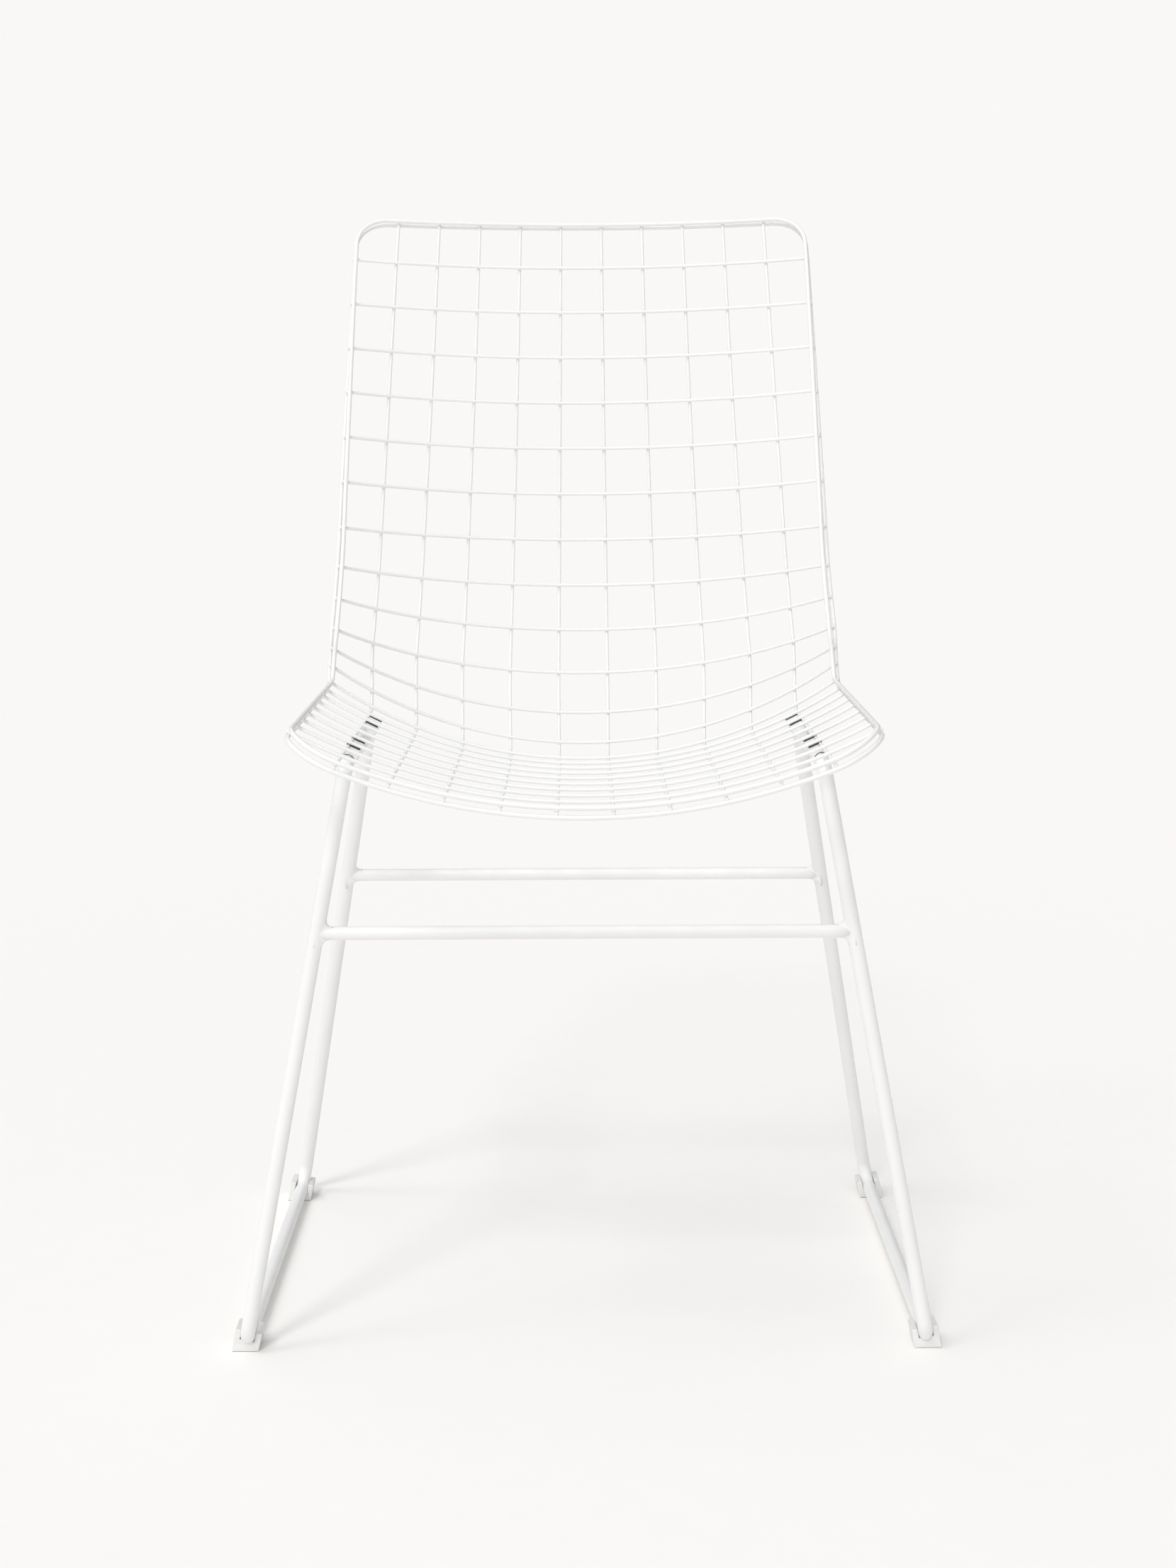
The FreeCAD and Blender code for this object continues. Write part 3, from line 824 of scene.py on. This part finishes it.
def add_bump(nodes, links, source, distance, strength, under=None):
    bump = nodes.new("ShaderNodeBump")
    bump.inputs["Distance"].default_value = distance * MM
    bump.inputs["Strength"].default_value = strength
    links.new(source.outputs["Fac"], bump.inputs["Height"])
    if under:
        links.new(under.outputs["Normal"], bump.inputs["Normal"])
    return bump


def powder_coat(name, low, high, peel_scale):
    """White powder coat: fine orange peel, a slow drift of tone and of gloss."""
    material, nodes, links, shader = new_material(name)
    where = nodes.new("ShaderNodeTexCoord")
    drift = add_noise(nodes, links, where, 9.0, 3.0)
    tone = add_ramp(nodes, links, drift, low, high)
    links.new(tone.outputs["Color"], shader.inputs["Base Color"])
    patches = add_noise(nodes, links, where, 60.0, 2.0)
    gloss = add_ramp(nodes, links, patches, (0.34,) * 3, (0.46,) * 3)
    links.new(gloss.outputs["Color"], shader.inputs["Roughness"])
    peel = add_noise(nodes, links, where, peel_scale, 1.5)
    sag = add_noise(nodes, links, where, peel_scale / 5, 1.0)
    first = add_bump(nodes, links, sag, 0.05, 0.5)
    second = add_bump(nodes, links, peel, 0.02, 0.6, first)
    links.new(second.outputs["Normal"], shader.inputs["Normal"])
    shader.inputs["Specular IOR Level"].default_value = 0.45
    return material


def speckled(name, cloud, colours, grain, gloss_range, relief):
    """A plain material whose tone, gloss and relief follow noise that is fixed to the piece.

    cloud and grain are a scale and a detail, relief a depth in millimetres and a strength.
    """
    material, nodes, links, shader = new_material(name)
    where = nodes.new("ShaderNodeTexCoord")
    broad = add_noise(nodes, links, where, *cloud)
    tone = add_ramp(nodes, links, broad, *colours)
    links.new(tone.outputs["Color"], shader.inputs["Base Color"])
    fine = add_noise(nodes, links, where, *grain) if grain else broad
    gloss = add_ramp(nodes, links, fine, *((value,) * 3 for value in gloss_range))
    links.new(gloss.outputs["Color"], shader.inputs["Roughness"])
    bump = add_bump(nodes, links, fine, *relief)
    links.new(bump.outputs["Normal"], shader.inputs["Normal"])
    return material, shader


def cloudy_plastic(name):
    colours = ((0.87, 0.872, 0.86), (0.93, 0.932, 0.92))
    material, shader = speckled(name, (170.0, 4.0), colours, (420.0, 3.0), (0.3, 0.55), (0.05, 0.5))
    shader.inputs["Transmission Weight"].default_value = 0.12
    shader.inputs["IOR"].default_value = 1.5
    return material


def white_nylon(name):
    colours = ((0.8, 0.8, 0.785), (0.87, 0.87, 0.86))
    grain = (1400.0, 2.0)
    material, shader = speckled(name, (110.0, 3.0), colours, grain, (0.45, 0.65), (0.03, 0.6))
    shader.inputs["Subsurface Weight"].default_value = 0.15
    shader.inputs["Subsurface Radius"].default_value = (0.002, 0.002, 0.0018)
    return material


def black_rubber(name):
    colours = ((0.022, 0.022, 0.024), (0.045, 0.045, 0.047))
    return speckled(name, (90.0, 3.0), colours, (1600.0, 2.0), (0.5, 0.7), (0.04, 0.7))[0]


def zinc(name):
    colours = ((0.48, 0.49, 0.5), (0.64, 0.645, 0.65))
    material, shader = speckled(name, (500.0, 3.0), colours, None, (0.28, 0.42), (0.02, 0.5))
    shader.inputs["Metallic"].default_value = 1.0
    return material


# The pieces

COAT = ((0.86, 0.862, 0.86), (0.9, 0.902, 0.9))
# the welds' coat is a little darker than the wires' and the frame's: painted shade for the crevices
# where the wires cross and where they meet the rims
WELD_COAT_PAINTED_SHADE = ((0.82, 0.822, 0.82), (0.88, 0.882, 0.88))
wire_paint = powder_coat("white_powder_coat_wire", *COAT, peel_scale=1500.0)
frame_paint = powder_coat("white_powder_coat_frame", *COAT, peel_scale=1100.0)
weld_paint_with_painted_shade = powder_coat("white_powder_coat_welds_painted_shade", *WELD_COAT_PAINTED_SHADE, peel_scale=1900.0)
glide_plastic = cloudy_plastic("cloudy_glide_plastic")
clip_nylon = white_nylon("white_nylon")
liner_rubber = black_rubber("black_rubber")
screw_zinc = zinc("zinc_plated_steel")

for hand, side in SIDES:
    node = f"side_frame_{hand}"
    add_piece(f"round_{node}", frame_mesh(node, side), frame_paint, [node])
for end in ("front", "rear"):
    node = f"{end}_stretcher"
    add_piece(f"round_{node}", stretcher_mesh(node, end), frame_paint, [node])
    for hand, side in SIDES:
        name = f"{end}_weld_fillet_{hand}"
        add_piece(name, fillet_mesh(name, end, side), frame_paint)

for node, side in (("upper_rim", 1), ("lower_rim", -1)):
    add_piece(f"round_{node}", rim_mesh(node, side), wire_paint, [node])

for row in range(1, CROSS_COUNT + 1):
    station = row_station(row)
    reach = 1 + CROSS_OVERHANG / half_girth(station)
    places = [reach * (step / TUBE_STEPS - 1) for step in range(2 * TUBE_STEPS + 1)]
    node = f"cross_wire_{row:02d}"
    mesh = wire_mesh(node, [surface(place, station) for place in places], WIRE_RADIUS)
    add_piece(f"round_{node}", mesh, wire_paint, [node])

LONG_STEPS = 110
for number in range(1, LONG_COUNT + 1):
    start, stop = -LONG_OVERHANG, SHELL_RUN + LONG_OVERHANG
    stations = [start + (stop - start) * step / LONG_STEPS for step in range(LONG_STEPS + 1)]
    points = [surface(long_fraction(number), station, LONG_OFFSET) for station in stations]
    node = f"long_wire_{number:02d}"
    mesh = wire_mesh(node, points, WIRE_RADIUS)
    add_piece(f"round_{node}", mesh, wire_paint, [node])

# the weld collars take the slightly darker coat, which is painted shade in the crevices at the
# crossings and at the rims
add_piece("crossing_welds", crossing_welds(), weld_paint_with_painted_shade)
add_piece("rim_welds", rim_welds(), weld_paint_with_painted_shade)

GLIDE_Y = {
    "front": FOOT_SETBACK["front"] + GLIDE_SETBACK - MIDDLE_Y,
    "rear": FOOT_SETBACK["rear"] - GLIDE_SETBACK - MIDDLE_Y,
}
for hand, side in SIDES:
    for end in ("front", "rear"):
        node = f"glide_{end}_{hand}"
        mesh = glide_mesh(node, side, GLIDE_Y[end])
        piece = add_piece(f"moulded_{node}", mesh, glide_plastic, [node])
        add_round_edges(piece, GLIDE_ROUNDING)
        node = f"seat_clip_{end}_{hand}"
        mesh = clip_mesh(node, end, side)
        piece = add_piece(f"moulded_{node}", mesh, clip_nylon, [node])
        add_round_edges(piece, CLIP_ROUNDING)
        name = f"clip_liners_{end}_{hand}"
        piece = add_piece(name, liner_mesh(name, end, side), liner_rubber)
        add_round_edges(piece, LINER_ROUNDING)
mesh = screws_mesh("clip_screws")
add_piece("recessed_clip_screws", mesh, screw_zinc, ["clip_screws"])


# Floor, light and camera

BACKDROP = (0.956, 0.939, 0.922)
FLOOR_TONE = (0.945, 0.928, 0.911)
FLOOR_GRAIN = 0.003
FLOOR_HALF = 30.0
FLOOR_DROP = 0.0002
# where the floor's own shading gives way to the backdrop's tone, in metres from the origin
FADE_FROM, FADE_TO = 0.9, 2.6
# the world's light: where it is strongest, and its strength away from there and towards it
GLOW_FROM = (-0.45, -0.75, 0.48)
GLOW_LEAST, GLOW_MOST = 0.04, 1.04
# suns: name, energy, spread in degrees, heading
SUNS = (
    ("front_softbox", 0.75, 10, (0.3, 1.0, -1.0)),
    ("window", 0.3, 14, (0.62, 0.42, -1.0)),
    ("ceiling_panel", 0.65, 60, (0.18, 0.05, -1.0)),
)
# the photograph's viewpoint: a pinhole fitted to the crossings, rims, legs and feet
CAMERA_PLACE = (-4.41, -1875.2, 686.8)
CAMERA_TILT, CAMERA_YAW, CAMERA_ROLL = 0.1470, 0.0040, -0.0041
SENSOR_WIDTH, LENS = 36.0, 55.335


def floor_material():
    """Pale floor that keeps shadows near the chair and takes the backdrop's tone further out."""
    material, nodes, links, shader = new_material("pale_floor")
    shader.inputs["Roughness"].default_value = 0.9
    shader.inputs["Specular IOR Level"].default_value = 0.0
    where = nodes.new("ShaderNodeTexCoord")
    grain = add_noise(nodes, links, where, 30.0, 3.0)
    darker = tuple(value - FLOOR_GRAIN for value in FLOOR_TONE)
    lighter = tuple(value + FLOOR_GRAIN for value in FLOOR_TONE)
    tone = add_ramp(nodes, links, grain, darker, lighter)
    links.new(tone.outputs["Color"], shader.inputs["Base Color"])
    distance = nodes.new("ShaderNodeVectorMath")
    distance.operation = "LENGTH"
    links.new(where.outputs["Object"], distance.inputs[0])
    fade = nodes.new("ShaderNodeMapRange")
    fade.interpolation_type = "SMOOTHERSTEP"
    fade.inputs["From Min"].default_value = FADE_FROM
    fade.inputs["From Max"].default_value = FADE_TO
    links.new(distance.outputs["Value"], fade.inputs["Value"])
    path = nodes.new("ShaderNodeLightPath")
    seen = nodes.new("ShaderNodeMath")
    seen.operation = "MULTIPLY"
    links.new(path.outputs["Is Camera Ray"], seen.inputs[0])
    links.new(fade.outputs["Result"], seen.inputs[1])
    plain = nodes.new("ShaderNodeEmission")
    plain.inputs["Color"].default_value = (*BACKDROP, 1)
    mix = nodes.new("ShaderNodeMixShader")
    links.new(seen.outputs["Value"], mix.inputs["Fac"])
    links.new(shader.outputs["BSDF"], mix.inputs[1])
    links.new(plain.outputs["Emission"], mix.inputs[2])
    links.new(mix.outputs["Shader"], nodes["Material Output"].inputs["Surface"])
    return material


def make_floor():
    half = FLOOR_HALF
    corners = [(-half, -half, 0), (half, -half, 0), (half, half, 0), (-half, half, 0)]
    mesh = bpy.data.meshes.new("floor")
    mesh.from_pydata(corners, [], [(0, 1, 2, 3)])
    mesh.materials.append(floor_material())
    floor = bpy.data.objects.new("floor", mesh)
    floor.location.z = -FLOOR_DROP
    bpy.context.scene.collection.objects.link(floor)


def make_world():
    """Soft light, stronger from the front left, and an even pale backdrop for the camera."""
    world = bpy.data.worlds.new("studio")
    bpy.context.scene.world = world
    world.use_nodes = True
    nodes, links = world.node_tree.nodes, world.node_tree.links
    nodes.clear()
    where = nodes.new("ShaderNodeTexCoord")
    facing = nodes.new("ShaderNodeVectorMath")
    facing.operation = "DOT_PRODUCT"
    links.new(where.outputs["Generated"], facing.inputs[0])
    facing.inputs[1].default_value = GLOW_FROM
    glow = nodes.new("ShaderNodeMapRange")
    glow.inputs["From Min"].default_value = -1.0
    glow.inputs["From Max"].default_value = 1.0
    glow.inputs["To Min"].default_value = GLOW_LEAST
    glow.inputs["To Max"].default_value = GLOW_MOST
    links.new(facing.outputs["Value"], glow.inputs["Value"])
    soft = nodes.new("ShaderNodeBackground")
    links.new(glow.outputs["Result"], soft.inputs["Strength"])
    plain = nodes.new("ShaderNodeBackground")
    plain.inputs["Color"].default_value = (*BACKDROP, 1)
    path = nodes.new("ShaderNodeLightPath")
    mix = nodes.new("ShaderNodeMixShader")
    links.new(path.outputs["Is Camera Ray"], mix.inputs["Fac"])
    links.new(soft.outputs["Background"], mix.inputs[1])
    links.new(plain.outputs["Background"], mix.inputs[2])
    out = nodes.new("ShaderNodeOutputWorld")
    links.new(mix.outputs["Shader"], out.inputs["Surface"])


def make_lamp(name, energy, spread, heading):
    light = bpy.data.lights.new(name, "SUN")
    light.energy = energy
    light.angle = math.radians(spread)
    lamp = bpy.data.objects.new(name, light)
    bpy.context.scene.collection.objects.link(lamp)
    lamp.rotation_euler = Vector(heading).to_track_quat("-Z", "Y").to_euler()


def make_camera():
    place = Vector(CAMERA_PLACE) * MM
    tilt, yaw, roll = CAMERA_TILT, CAMERA_YAW, CAMERA_ROLL
    ahead = Vector((math.sin(yaw), math.cos(yaw), 0)) * math.cos(tilt)
    ahead.z = -math.sin(tilt)
    level = Vector((math.cos(yaw), -math.sin(yaw), 0))
    upward = level.cross(ahead)
    right = level * math.cos(roll) + upward * math.sin(roll)
    upward = upward * math.cos(roll) - level * math.sin(roll)
    lens = bpy.data.cameras.new("photo_view")
    lens.sensor_width = SENSOR_WIDTH
    lens.lens = LENS
    lens.clip_end = 100.0
    camera = bpy.data.objects.new("photo_view", lens)
    bpy.context.scene.collection.objects.link(camera)
    turned = Matrix((right, upward, -ahead)).transposed().to_4x4()
    camera.matrix_world = Matrix.Translation(place) @ turned
    bpy.context.scene.camera = camera


make_floor()
make_world()
for sun in SUNS:
    make_lamp(*sun)
make_camera()
bpy.context.scene.view_settings.view_transform = "Standard"

bpy.context.view_layer.update()
